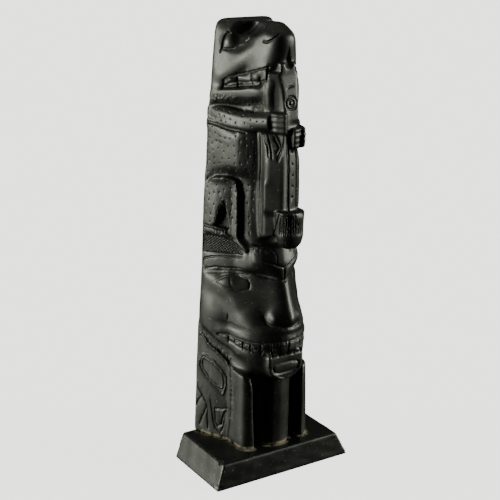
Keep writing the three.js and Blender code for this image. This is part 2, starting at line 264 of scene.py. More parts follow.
# ---- the bear's head ----
EYE_LID = [(-14.9, 12.8, 184.3), (-14.5, 12.2, 185.4), (-14.0, 12.1, 187.1), (-13.5, 12.1, 189.5),
           (-12.8, 11.2, 191.2), (-12.1, 9.8, 192.1), (-11.3, 8.3, 192.4), (-10.5, 6.5, 192.0),
           (-9.3, 3.7, 191.2), (-8.4, 1.0, 190.6)]
EYE_UNDER = [(-8.4, 1.0, 190.6), (-9.0, 2.6, 189.4), (-10.1, 4.0, 188.2), (-11.4, 5.5, 186.8),
             (-12.5, 7.4, 186.1), (-13.4, 9.1, 185.8), (-14.2, 11.5, 185.4)]
NOSTRIL = [(-7.8, -8.6, 190.3), (-7.5, -10.2, 190.1), (-7.0, -11.7, 190.4), (-6.1, -13.3, 191.3),
           (-5.1, -14.6, 192.7), (-3.9, -15.2, 193.9)]
LIP_LINE = [(-15.4, 10.2, 169.8), (-14.9, 10.2, 171.2), (-13.9, 9.8, 173.0), (-12.7, 6.6, 174.6),
            (-11.3, 4.0, 175.6), (-9.3, 1.5, 176.1), (-8.7, -3.7, 177.5), (-8.3, -8.5, 179.1),
            (-6.4, -12.0, 180.3)]
BITE_LINE = [(-14.1, 8.6, 171.2), (-12.5, 4.7, 172.2), (-11.7, 3.4, 172.6), (-10.6, 0.5, 172.6),
             (-9.9, -4.1, 173.4), (-8.0, -7.6, 174.0), (-5.9, -11.4, 174.9)]
TOOTH_GAPS = [[(-11.2, 4.2, 176.0), (-11.6, 3.4, 170.2)], [(-8.8, -3.5, 177.8), (-9.8, -4.3, 172.0)],
              [(-8.6, -8.8, 175.6), (-7.8, -8.1, 173.0)], [(-7.0, -12.2, 180.2), (-6.6, -11.6, 175.0)]]
TEETH = [((-12.9, 6.6, 173.4), (2.2, 2.8, 1.7)), ((-10.2, 0.6, 174.5), (2.6, 4.2, 2.4)),
         ((-8.9, -6.4, 175.8), (2.6, 3.6, 2.8))]
BROW_POCKET = [(-0.8, 2.8, 197.5), (-4.6, 4.2, 195.9), (-8.2, 6.0, 192.8)]
EYE_CORNER = [(-11.8, 6.2, 190.0), (-8.7, 1.8, 190.2)]
CHIN_EDGE = [(-6.4, -13.4, 173.6), (-6.9, -13.0, 170.0), (-6.7, -13.2, 164.6)]
SNOUT_CLEFT = [(0.3, -17.6, 188.2), (0.2, -17.2, 181.6)]
BROW_RIM = [(-10.5, 9.4, 194.6), (-9.0, 8.5, 195.3), (-6.2, 6.8, 196.1), (-4.4, 3.5, 197.1),
            (-1.0, 3.1, 197.6)]


def bear_head(clay):
    """The brow pockets, eyes, nostrils, lips and teeth."""
    for side in BOTH_SIDES:
        clay.wedge(side(BROW_POCKET), (0.8, 5.2), (0.2, 2.5))
        clay.swell(*side([(-12.0, 7.0, 189.0)]), (8.0, 8.6, 5.6), -1.2)
        clay.swell(*side([(-12.6, 8.6, 188.6)]), (4.6, 4.8, 4.0), 1.5)
        for middle, radii in TEETH:
            clay.swell(*side([middle]), radii, 0.7)
    clay.settle()
    for side in BOTH_SIDES:
        clay.groove(side(EYE_LID), 0.6, 0.85, 0.4)
        clay.groove(side(EYE_UNDER), 0.6, 0.75, 0.4)
        clay.wedge(side(EYE_CORNER), (2.0, 0.4), (0.1, 1.0))
        clay.groove(side(NOSTRIL), 0.6, 0.8, 0.3)
        clay.groove(side(LIP_LINE), 0.6, 0.8, 0.8)
        clay.groove(side(BITE_LINE), 0.5, 0.6)
        for gap in TOOTH_GAPS:
            clay.groove(side(gap), 0.5, 0.75)
        clay.ridge(side(CHIN_EDGE), 2.2, 0.7, 0.6)
        clay.ridge(side(BROW_RIM), 0.7, 0.3, 0.3)
    clay.wedge(SNOUT_CLEFT, (0.3, 2.2), (0.2, 1.6))


# ---- the bear's arms, flank, legs and salmon ----
HATCH_EDGE = [(17.0, 105.4), (8.0, 105.6), (3.4, 104.4), (-3.4, 100.0), (6.9, 99.2), (17.0, 97.8)]  # (y, z)
HATCH_PITCH, HATCH_SLANT, HATCH_SINK, HATCH_CUT = 1.35, 1.15, 0.14, 0.44
FIN_RAYS = [[(-6.1, -10.4, 153.0), (-5.6, -13.1, 143.7)], [(-5.8, -12.0, 153.0), (-5.3, -14.6, 143.0)],
            [(-5.3, -14.9, 152.2), (-4.8, -17.5, 148.1), (-5.0, -16.3, 144.9)],
            [(-4.9, -16.6, 153.0), (-4.6, -18.6, 147.8), (-4.9, -17.0, 143.0)],
            [(-4.3, -19.8, 153.0), (-4.5, -19.1, 147.4), (-4.8, -17.6, 142.2)]]
FIN_EDGE = [(-6.7, -7.2, 153.0), (-6.5, -8.2, 141.0), (-6.4, -7.6, 131.4), (-6.3, -8.5, 122.2),
            (-6.3, -8.5, 110.0)]
STRIP_EDGE = [(-2.4, -21.4, 153), (-2.4, -22, 134), (-2.4, -22, 122.4)]
TAIL_EDGE = [(-5.9, -20.4, 120.4), (-5.9, -19.0, 117.0), (-5.4, -16.8, 113.5), (-4.4, -14.4, 109.0)]
SALMON_LIP = [(-1.6, -18.2, 171.8), (0, -18.0, 172.9), (1.7, -18.0, 172.6)]
SALMON_DOTS = [(0, -22, height) for height in (146.4, 141.6, 136.8, 132.2, 127.6)]
SALMON_EYE = (-19.6, 166.3)  # its place forward and up, on the middle line
EYE_RINGS = ((2.7, 0.5), (1.2, 0.45))  # radius and half width
TAIL_FLUTES = 17
DOT_SPACING, DOT_RADIUS, DOT_DEPTH = 2.7, 0.38, 0.36


# Creases of the limbs: a line, its half width and its depth.
LIMB_CREASES = (
    ([(-16.4, 6.3, 121.6), (-16.1, 5.2, 114.1), (-16.0, 4.5, 108.6)], 0.7, 0.7),
    ([(-15.9, 4.0, 108.2), (-14.7, 0.4, 105.0), (-14.1, -4.6, 101.6)], 0.6, 0.6),
    ([(-20.9, 17.4, 109.6), (-18.9, 9.0, 109.8), (-17.2, 6.6, 109.6)], 0.7, 0.6),
    ([(-18.3, 17.1, 154.5), (-15.3, 9.5, 153.9), (-13.3, -0.5, 154.0), (-10.1, -2.2, 153.1)], 0.8, 0.6))


def bear_body(clay):
    """The creases of the bear's limbs, and the dots pricked all over it."""
    for side in BOTH_SIDES:
        for line, half, depth in LIMB_CREASES:
            clay.groove(side(line), half, depth)
    source = random.Random(DOT_SEED)
    x, y, z = clay.points.T
    bear = (z > 108.5) & (z < 161) & (y < 18) & ((abs(x) > 7.6) | (y > -9)) & (clay.normals[:, 2] < 0.8)
    bear &= ~((abs(x) < 9) & (y < -4.5))
    clay.pits(clay.scattered(bear, DOT_SPACING, source), DOT_RADIUS, DOT_DEPTH)


def hatched_panel(clay):
    """Crossed cuts under each foot."""
    outline = np.array(HATCH_EDGE)
    x, y, z = clay.points.T
    inside = np.zeros(len(x), bool)
    for (y1, z1), (y2, z2) in zip(outline, np.roll(outline, -1, 0)):
        crossing = ((z1 > z) != (z2 > z)) & (y < (y2 - y1) * (z - z1) / (z2 - z1 + 1e-9) + y1)
        inside ^= crossing
    inside &= abs(x) > 8
    for slant in (1, -1):
        across = (y + slant * HATCH_SLANT * (z - 100)) / HATCH_PITCH
        gap = abs(across - np.round(across)) * 2
        cut = np.where(inside, HATCH_SINK + HATCH_CUT * np.clip(1 - gap / 0.7, 0, 1), 0)
        clay.points -= clay.normals * cut[:, None]


def salmon(clay):
    """The salmon's fins, eye, lip, dots and fluted tail."""
    for side in BOTH_SIDES:
        clay.ridge(side(FIN_EDGE), 0.8, 0.7, 0.5)
        for ray in FIN_RAYS:
            clay.groove(side(ray), 0.45, 0.5, 0.4)
        clay.groove(side(STRIP_EDGE), 0.5, 0.5)
        clay.groove(side(TAIL_EDGE), 0.6, 0.6)
    forward, up = SALMON_EYE
    for radius, half in EYE_RINGS:
        ring = [(radius * math.cos(a), forward, up + radius * math.sin(a))
                for a in (math.radians(30 * i) for i in range(13))]
        clay.groove(ring, half, 0.45)
    clay.groove(SALMON_LIP, 0.45, 0.4, 0.3)
    clay.pits([clay.places.find(dot)[0] for dot in SALMON_DOTS], 0.6, 0.5)
    for i in range(TAIL_FLUTES):
        angle = math.radians(-72 + 144 * i / (TAIL_FLUTES - 1))
        x, y = 6.5 * math.sin(angle), -19.4 - 6.0 * math.cos(angle)
        clay.groove([(x, y, 120.6), (x * 0.97, y + 0.2, 112)], 0.42, 0.45, 0.3)


# ---- the lower face ----
BROW_PANEL = [(-13.6, -3.1, 98.8), (-15.2, 2.2, 97.8), (-17.7, 6.7, 97.4), (-19.9, 11.8, 96.2),
              (-21.0, 14.9, 94.8), (-21.5, 16.4, 93.2), (-21.5, 16.4, 91.3), (-21.1, 14.7, 90.2),
              (-20.2, 12.7, 90.9), (-18.9, 9.5, 92.1), (-16.4, 4.8, 92.6), (-13.3, -2.7, 93.5)]
FACE_EYE = [(-17.2, 7.5, 85.4), (-14.9, 4.5, 86.6), (-13.3, 2.5, 88.0), (-11.7, -0.2, 88.7),
            (-11.1, -5.1, 89.0), (-11.6, -7.0, 87.3), (-11.9, -6.8, 85.0), (-13.9, -3.7, 83.9),
            (-14.6, -0.3, 83.9), (-16.0, 3.6, 84.4), (-17.2, 7.5, 85.4)]
EYE_BALL = [(-14.0, 3.4, 87.4), (-14.4, 2.2, 85.6), (-14.2, 0.6, 84.4)]
NOSE_BASE = [(-9.4, -14.5, 74.3), (-9.0, -15.5, 72.6), (-8.3, -15.7, 71.4), (-7.0, -16.9, 70.5),
             (-4.4, -18.6, 70.1), (0, -21, 69.6)]
LIP_TOP = [(-21.3, 6.9, 68.1), (-17.7, 0.6, 67.9), (-15.0, -9.7, 67.5), (-10.7, -15.7, 66.8),
           (-4.9, -19.3, 66.4), (0, -20.8, 66.5)]
FACE_BITE = [(-19.8, 5.4, 62.4), (-18.2, 0.0, 62.9), (-16.7, -5.0, 62.9), (-14.3, -11.2, 62.5),
             (-10.3, -16.0, 62.7), (-5.2, -19.1, 63.3), (0, -20.4, 63.3)]
FACE_LOW_BITE = [(-19.8, 5.4, 62.2), (-18.4, 0.6, 60.4), (-16.9, -4.0, 59.6), (-14.3, -11.2, 58.1),
                 (-10.2, -15.9, 56.8), (-4.2, -19.0, 57.0), (0, -19.4, 56.6)]
FACE_TEETH = [(-18.0, 0.4), (-17.0, -3.6), (-15.4, -8.0), (-13.6, -11.4), (-10.6, -15.0), (-7.2, -18.0),
              (-3.7, -20.0)]
UPPER_LID = [(-18.4, 9.6, 85.3), (-16.4, 6.8, 86.5), (-14.1, 3.9, 88.4), (-11.5, 0.1, 90.2),
             (-10.5, -4.8, 91.0)]
BROW_FOOT = [(-20.6, 14.9, 89.0), (-17.3, 6.6, 91.1), (-13.2, -2.7, 92.5), (-9.1, -7.6, 91.9),
             (-4.3, -11.6, 90.8)]
CORNER_MARK = [(-17.8, 1.0, 72.3), (-17.8, 0.8, 70.1)]
CREST_FOOT = [(-9.1, -7.6, 91.9), (-4.6, -11.4, 91.2), (-2.5, -15.1, 90.8), (0, -16.7, 89.8)]
CREST_CHEVRON = [(-8.2, -12.4, 98.9), (-4.5, -14.9, 97.5), (0, -15.7, 95.6)]
CREST_SIDE = [(-3.6, -14.0, 102.5), (-3.1, -14.9, 100.5), (-3.3, -15.2, 97.4)]


def lower_face(clay):
    """The brow panels, eyes, nose, lips and teeth of the lower face, and the crest above it."""
    for side in BOTH_SIDES:
        clay.groove(side(BROW_PANEL), 0.5, 0.45, 0.7)
        clay.groove(side(BROW_FOOT), 1.3, 0.4, 0.3)
        clay.groove(side(FACE_EYE), 0.5, 0.26)
        clay.groove(side(UPPER_LID), 0.55, 0.25, 0.2)
        clay.groove(side(EYE_BALL), 0.45, 0.13)
        clay.groove(side(NOSE_BASE), 0.8, 0.6, 0.5)
        clay.groove(side(LIP_TOP), 1.6, 0.2, 0.3)
        clay.groove(side(CORNER_MARK), 0.45, 0.35, 0.5)
        clay.groove(side(CREST_FOOT), 0.9, 0.7, 0.4)
        clay.ridge(side([(x, y, z + 1.7) for x, y, z in FACE_BITE]), 1.9, 0.3, 0.4)
        clay.groove(side(FACE_BITE), 0.8, 0.9, 0.6)
        clay.groove(side(FACE_LOW_BITE), 0.9, 0.35, 0.5)
        for i, (x, y) in enumerate(FACE_TEETH):
            clay.groove(side([(x, y, 62.8), (x, y, 60 - 0.6 * i)]), 0.45, 0.7)
    for side in BOTH_SIDES:
        clay.groove(side(CREST_CHEVRON), 0.5, 0.5)
    clay.groove([(0, -15.7, 95.6), (0, -16.6, 90.4)], 0.5, 0.5)
    clay.groove(CREST_SIDE, 0.45, 0.15, 0.3)
    clay.groove([(0, -20.4, 63.0), (0, -19.6, 57.2)], 0.45, 0.7)


# ---- the flippers and the tongue ----
OVAL_OUT = [(-23.6, 15.7, 46.8), (-22.8, 13.9, 50.2), (-22.3, 12.5, 50.1), (-20.7, 8.3, 48.8),
            (-18.8, 3.9, 45.0), (-18.0, 2.2, 42.5), (-18.0, 1.9, 38.4), (-18.8, 3.3, 33.9),
            (-19.6, 4.9, 34.3), (-21.5, 9.3, 37.3), (-23.2, 14.0, 41.4), (-23.8, 15.8, 44.7),
            (-23.6, 15.7, 46.8)]
OVAL_IN = [(-23.2, 14.5, 47.1), (-22.7, 13.4, 49.1), (-20.7, 8.3, 47.1), (-19.0, 4.3, 43.6),
           (-18.7, 3.4, 39.7), (-18.9, 3.7, 36.7), (-19.9, 5.8, 37.0), (-22.0, 10.7, 40.2),
           (-23.2, 14.1, 43.9), (-23.2, 14.5, 47.1)]
U_FORM = [(-21.8, 9.3, 29.3), (-21.5, 8.5, 24.8), (-21.2, 7.6, 19.5), (-20.8, 6.7, 16.3),
          (-19.6, 4.2, 14.9), (-18.9, 3.0, 17.4), (-18.4, 2.3, 23.2), (-17.8, 1.1, 27.3)]
U_INSIDE = [(-20.8, 7.0, 25.2), (-20.8, 6.7, 19.8), (-20.2, 5.5, 17.6), (-19.3, 3.8, 18.9),
            (-18.9, 3.1, 23.0), (-18.2, 1.9, 26.3)]
U_CAP = [(-20.7, 6.8, 25.9), (-19.3, 3.9, 26.3), (-17.8, 1.1, 27.5)]
FEATHER_LINES = [[(-24.7, 17.0, 35.1), (-23.7, 14.1, 31.3), (-22.9, 11.7, 27.7), (-22.5, 10.7, 25.0)],
                 [(-23.9, 14.2, 29.5), (-24.6, 15.8, 27.0), (-25.1, 16.6, 24.6)],
                 [(-22.7, 11.2, 25.3), (-23.8, 13.3, 20.0), (-24.5, 14.6, 16.1)],
                 [(-22.6, 10.8, 25.0), (-22.6, 10.4, 15.2)]]
FLIPPER_RIM = [(-22.9, 15.2, 60.2), (-21.8, 11.7, 56.2), (-19.1, 5.6, 52.7), (-17.7, 2.0, 50.0),
               (-17.4, -0.4, 46.3), (-17.5, -1.4, 37.1), (-17.7, -1.1, 24.4), (-17.9, 0.9, 13.7)]
TONGUE_RIM = [(-8.2, -18.9, 50.4), (-7.0, -18.7, 49.1), (-3.5, -18.2, 46.0), (0, -17.4, 45.2),
              (3.5, -18.2, 46.0), (7.0, -18.7, 49.1), (8.2, -18.9, 50.4)]
TONGUE_OVAL = [(-6.6, -18.9, 51.6), (-5.8, -18.7, 49.3), (-3, -18.6, 48.3), (3, -18.6, 48.3),
               (5.8, -18.7, 49.3), (6.6, -18.9, 51.6), (5.4, -18.9, 53), (0, -18.9, 53.3),
               (-5.4, -18.9, 53), (-6.6, -18.9, 51.6)]


def flipper_lines(clay):
    for side in BOTH_SIDES:
        clay.ridge(side(FLIPPER_RIM), 0.9, 0.6, 0.5)
        clay.ridge(side(OVAL_OUT), 0.6, 0.4)
        clay.ridge(side(OVAL_IN), 0.5, 0.3)
        for line in (U_FORM, U_INSIDE, U_CAP, *FEATHER_LINES):
            clay.groove(side(line), 0.5, 0.45, 0.6)


def tongue_oval(clay):
    clay.groove(TONGUE_OVAL, 0.55, 0.6)
    clay.ridge(TONGUE_RIM, 0.9, 0.4, 0.3)


# ---- the pole ----
NOSE_LINE = [(69.6, -20.6), (74.2, -23.5), (78, -21.2), (84, -19), (92, -16.4), (96, -16)]  # (z, y)
# Upright planes, each from (across, forward) to (across, forward).
CHEEK_BACK, CHEEK_TURN, EYE_TURN, NOSE_TURN = (22.5, 15.0), (16.6, -2.8), (19.2, 2.8), (1.8, 0.8)
JAW = [(18.2, 17.0), (9.0, -11.0)]
FLANK = [(19.4, 17.0), (14.4, -0.8), (8.4, -8.0)]
SALMON_SIDE = [(9.4, -12.6), (3.2, -20.4)]
# The levels of each wall: its lowest and highest, and how far it fades below and above them.
CHEEK_LEVELS, NOSE_LEVELS, JAW_LEVELS = (72, 87, 4, 4), (73, 88, 4, 4), (164.6, 168.6, 1.6, 1.4)
FLANK_LEVELS, SALMON_LEVELS = (137, 152, 4, 1.5), (122, 140, 4, 10)
JAW_SLOPE, JAW_PIVOT = 0.16, 9
STRIP_TURN, STRIP_HINGE = 0.24, 2.8  # how the salmon's front strip turns towards the left
MOST_OUT, TOO_DEEP = 4.6, 6.5  # mm that a wall comes out at most, and from where a hollow is left alone
ARM_UNDER = [(-19.0, 16.0, 154.6), (-15.6, 9.4, 154.4), (-13.4, 0.0, 154.2), (-10.4, -5.5, 154.6)]


def filled_out(clay, start, end, level, levels, shares=(0.0, 1.1)):
    """Brings both sides out to a flat wall between two upright lines, over the given shares of its length."""
    x, y, z = clay.points.T
    along = np.stack([end[0] - start[0] + 0 * z, end[1] - start[1] + 0 * z], 1)
    length = np.linalg.norm(along, axis=1)
    out = np.stack([-along[:, 1], along[:, 0]], 1) / length[:, None]
    reach = np.stack([abs(x) - start[0], y - start[1]], 1)
    share = (reach * along).sum(1) / length ** 2
    under = -(reach * out).sum(1)
    low, high, foot, head = levels
    first, last = shares
    lift = np.where(under < TOO_DEEP, np.clip(under, 0, MOST_OUT), 0) * blend(low - foot, low, level)
    lift *= blend(high + head, high, level)
    covered = (share > 0) * blend(first - 0.1, first + 0.01, share)
    lift *= covered * (1 - blend(last - 0.1, last + 0.1, share))
    clay.points[:, 0] += np.sign(x) * lift * out[:, 0]
    clay.points[:, 1] += lift * out[:, 1]


def flat_sides(clay):
    """Runs the face, jaw and flanks in flat planes, which the carver left broad and plain."""
    z = clay.points[:, 2]
    front = np.interp(z, *np.array(NOSE_LINE).T) + NOSE_TURN[1]
    eye_level = blend(78, 84, z)
    turn = [low + (high - low) * eye_level for low, high in zip(CHEEK_TURN, EYE_TURN)]
    filled_out(clay, CHEEK_BACK, turn, z, CHEEK_LEVELS)
    nose_share = 0.5 + 0.38 * blend(75.5, 79.5, z)
    filled_out(clay, turn, (NOSE_TURN[0], front), z, NOSE_LEVELS, (0.0, nose_share))
    filled_out(clay, *JAW, z + JAW_SLOPE * (clay.points[:, 1] - JAW_PIVOT), JAW_LEVELS, (0.0, 0.97))
    filled_out(clay, FLANK[0], FLANK[1], z, FLANK_LEVELS)
    filled_out(clay, FLANK[1], FLANK[2], z, FLANK_LEVELS, (0.0, 0.95))
    filled_out(clay, *SALMON_SIDE, z, SALMON_LEVELS, (0.0, 0.9))
    x, y, z = clay.points.T
    turned = window(x, -3.2, 3.4, 0.6) * blend(-17, -18.5, y) * window(z, 122, 157, 3)
    clay.points[:, 1] += turned * STRIP_TURN * (x + STRIP_HINGE)


def blocked_out(mesh):
    """The pole's forms rubbed smooth, apart from the teeth, hands, salmon and tongue."""
    clay = Clay(mesh)
    flat_sides(clay)
    clay.settle()
    clay.find_places()
    for side in BOTH_SIDES:
        clay.ridge(side(ARM_UNDER), 2.8, 1.2, 0.6)
    x, y, z = clay.points.T
    mouth = window(z - (174 - 0.28 * y), -4, 4.4, 1.0) * blend(13, 10.5, y)
    salmon_zone = window(x, -7, 7, 1) * blend(-12, -14, y) * window(z, 104, 182, 1)
    hands = blend(-10, -13, y) * window(z, 147, 163, 1) * (1 - 0.5 * (x > 2.5))
    bite = window(z, 60, 64, 1) * blend(7, 3, y)
    tongue = window(x, -7.2, 7.2, 1) * blend(-13, -15, y) * window(z, 43, 58, 1)
    crisp = np.clip(mouth + salmon_zone + hands + bite + tongue, 0, 0.94)
    jaw = window(z, 44, 59.5, 1.5) * window(y, -16, 1, 2) * window(abs(x), 0, 15.5, 1)
    full = np.clip(window(z, 164, 199, 1.5) + window(z, 66, 96, 2) + window(z, 134, 152, 1.5) + jaw, 0.12, 1)
    clay.relax((1 - crisp) * full, BLOCK_RUBS)
    clay.store()
    return mesh


BLOCK_RUBS, CARVED_RUBS, HOLLOW_RUBS = 40, 5, 20
ROUGH_REACH = (2.8, 1.9, 1.3, 2.2, 2.2)  # mm, for each of the lines below
CHISEL_RELIEF, CHISEL_DUST = 0.34, 0.22  # mm of lumps, and of depth that the dust takes them for
ROUGH_LINES = [[(-21.5, 18.0, 166.0), (-17.0, 12.0, 165.4), (-13.0, 5.0, 164.6), (-9.5, -3.0, 164.2),
               (-7.6, -8.0, 163.6)], [(-23.2, 16.0, 60.8), (-21.0, 10.5, 56.6), (-18.4, 5.0, 53.4),
               (-16.7, 0.8, 51.0), (-16.5, -1.5, 47.0), (-16.6, -2.6, 37.0), (-16.8, -2.4, 24.0)],
               [(-19.6, 13.0, 108.3), (-17.4, 5.4, 107.8), (-15.4, 1.6, 105.6)], [(-12.0, -8.0, 103.4),
               (-8.0, -12.5, 103.0), (-5.0, -15.0, 103.0)], [(-16.9, -5.0, 61.2), (-14.3, -11.2, 60.2),
               (-10.3, -16.0, 59.6), (-5.2, -19.1, 59.8)]]


def roughened(clay, grain):
    """Leaves the deep recesses as the chisel did; the answer says how rough each point is, from 0 to 1."""
    zone = np.zeros(len(clay.points))
    for side in BOTH_SIDES:
        for line, reach in zip(ROUGH_LINES, ROUGH_REACH):
            chosen, distance, _ = clay.near(side(line), reach)
            zone[chosen] = np.maximum(zone[chosen], 1 - (distance / reach) ** 2)
    lumps = grain.normal(0, 1, (len(zone), 1))
    for _ in range(2):
        lumps = clay.average(lumps)
    clay.points += clay.normals * (CHISEL_RELIEF * zone * lumps[:, 0])[:, None]
    return zone


def pole_mesh():
    """The whole carving: blocked out, carved line by line, then thinned to its number of triangles."""
    block = blocked_out(with_modifiers(merged_copy("pole"), voxels(ROUGHING)))
    base = with_modifiers(block, voxels(FINE))
    clay = Clay(base)
    clay.relax(np.ones(len(clay.points)), CARVED_RUBS)
    clay.settle()
    clay.find_places()
    bear_head(clay)
    bear_body(clay)
    hatched_panel(clay)
    salmon(clay)
    lower_face(clay)
    flipper_lines(clay)
    tongue_oval(clay)
    rough = roughened(clay, np.random.default_rng(CHISEL_SEED))
    clay.relax(np.full(len(clay.points), 0.3), 1)
    clay.points = clay.points.clip(np.array(POLE_LOW) / MM, np.array(POLE_HIGH) / MM)
    clay.settle()
    depth = clay.depth_below(HOLLOW_RUBS) + CHISEL_DUST * rough
    clay.store()
    seam = clay.points[:, 2] - FOOT
    share = POLE_TRIANGLES / (2 * len(clay.quads))
    return with_surface(with_modifiers(base, ("DECIMATE", {"ratio": share})), clay, depth, seam)


PLINTH_WEAR = 0.10  # mm
# Chips: the middle of each, its radius and its depth.
CHIPS = [((-30.6, -14.6, 11.2), 1.5, -0.9), ((-31.8, -16.2, 6.4), 1.0, -0.5), ((-33.6, -18.0, 1.4),
         2.2, -0.8), ((-24.0, -14.9, 11.9), 1.0, -0.4), ((-16.5, -14.9, 11.9), 1.6, -0.4),
         ((3.0, -14.9, 11.9), 0.9, -0.35), ((12.5, -14.9, 11.9), 1.3, -0.4), ((29.5, -15.4, 10.6),
         1.2, -0.5), ((34.4, -18.4, 0.8), 1.3, -0.5), ((-31.0, 3.0, 11.9), 1.2, -0.35),
         ((-31.0, -8.0, 11.9), 0.9, -0.3), ((30.8, 6.0, 11.9), 1.1, -0.4), ((22.0, 15.0, 11.9), 1.4, -0.4),
         ((-14.0, 15.0, 11.9), 1.2, -0.35), ((34.2, 18.2, 0.8), 1.6, -0.6)]


def plinth_mesh():
    """The plinth's block with its edges worn round, its faces a little uneven, and chips along its rim."""
    base = with_modifiers(merged_copy("plinth"), voxels(PLINTH_GRAIN))
    clay = Clay(base)
    top = PLINTH_HIGH.z / MM
    z = clay.points[:, 2]
    clay.relax(np.ones(len(z)), 3)
    clay.relax(blend(top - 5, top - 1, z), 8)
    clay.settle()
    x, y, z = clay.points.T
    waves = (np.sin(0.21 * x + 1.3) * np.cos(0.33 * y + 0.4) + 0.6 * np.sin(0.47 * x + 0.9 * z)
             + 0.5 * np.cos(0.71 * y - 0.5 * x))
    clay.points -= clay.normals * (PLINTH_WEAR * blend(1, 4, z) * (waves + 2.1) / 2)[:, None]
    for middle, reach, depth in CHIPS:
        clay.swell(middle, (reach, reach, reach * 0.8), depth)
    clay.points = clay.points.clip(np.array(PLINTH_LOW) / MM, np.array(PLINTH_HIGH) / MM)
    clay.settle()
    clay.find_places()
    depth = clay.depth_below(12)
    clay.store()
    foot = kdtree.KDTree(len(pole.data.vertices))
    for index, vertex in enumerate(pole.data.vertices):
        if vertex.co.z / MM < FOOT + 0.8:
            foot.insert(vertex.co / MM, index)
    foot.balance()
    seam = np.array([foot.find(point)[2] if point[2] > top - 2 else 9.0 for point in clay.points])
    return with_surface(base, clay, depth, seam)


def with_surface(mesh, clay, depth, seam):
    """The mesh with two attributes in millimetres: how deep it lies in hollows, and how far from the seam."""
    found = np.array([clay.places.find(vertex.co / MM)[1] for vertex in mesh.vertices])
    for name, values in (("hollow", depth), ("seam", seam)):
        kept = mesh.attributes.new(name, "FLOAT", "POINT")
        kept.data.foreach_set("value", values[found].astype(np.float32))
    mesh.polygons.foreach_set("use_smooth", np.ones(len(mesh.polygons), bool))
    return mesh


# ---- materials ----
DUST = (0.045, 0.047, 0.039, 1)
WORN = (0.020, 0.022, 0.018, 1)
SPECK = (0.26, 0.26, 0.23, 1)
GLUE = (0.36, 0.32, 0.23, 1)
CLOUD_SCALE, PATCH_SCALE, SPECK_SCALE, GRAIN_SCALE, FINE_SCALE = 110.0, 420.0, 1700.0, 1900.0, 5200.0
STONE_IOR = 1.5


def node(tree, kind, settings=(), **inputs):
    """A shader node; an input is a value, or a socket to link, and _ in its name stands for a space."""
    made = tree.nodes.new("ShaderNode" + kind)
    for key, value in dict(settings).items():
        setattr(made, key, value)
    for key, value in inputs.items():
        socket = made.inputs[int(key[1:]) if key[1:].isdigit() else key.replace("_", " ")]
        if isinstance(value, bpy.types.NodeSocket):
            tree.links.new(value, socket)
        else:
            socket.default_value = value
    return made


def step(tree, value, low, high):
    """A mask that runs from 0 at low to 1 at high."""
    ramp = node(tree, "MapRange", {"interpolation_type": "SMOOTHSTEP"}, Value=value, From_Min=low,
                From_Max=high)
    return ramp.outputs["Result"]


def sums(tree, operation, first, second):
    return node(tree, "Math", {"operation": operation}, i0=first, i1=second).outputs[0]


def times(tree, first, second):
    return sums(tree, "MULTIPLY", first, second)


def plus(tree, first, second):
    return sums(tree, "ADD", first, second)


def tinted(tree, share, under, over):
    mix = node(tree, "Mix", {"data_type": "RGBA"}, i0=share, i6=under, i7=over)
    return mix.outputs[2]


def speckle(tree, place, scale, detail=0.0, rough=0.5):
    return node(tree, "TexNoise", Vector=place, Scale=scale, Detail=detail, Roughness=rough).outputs["Fac"]


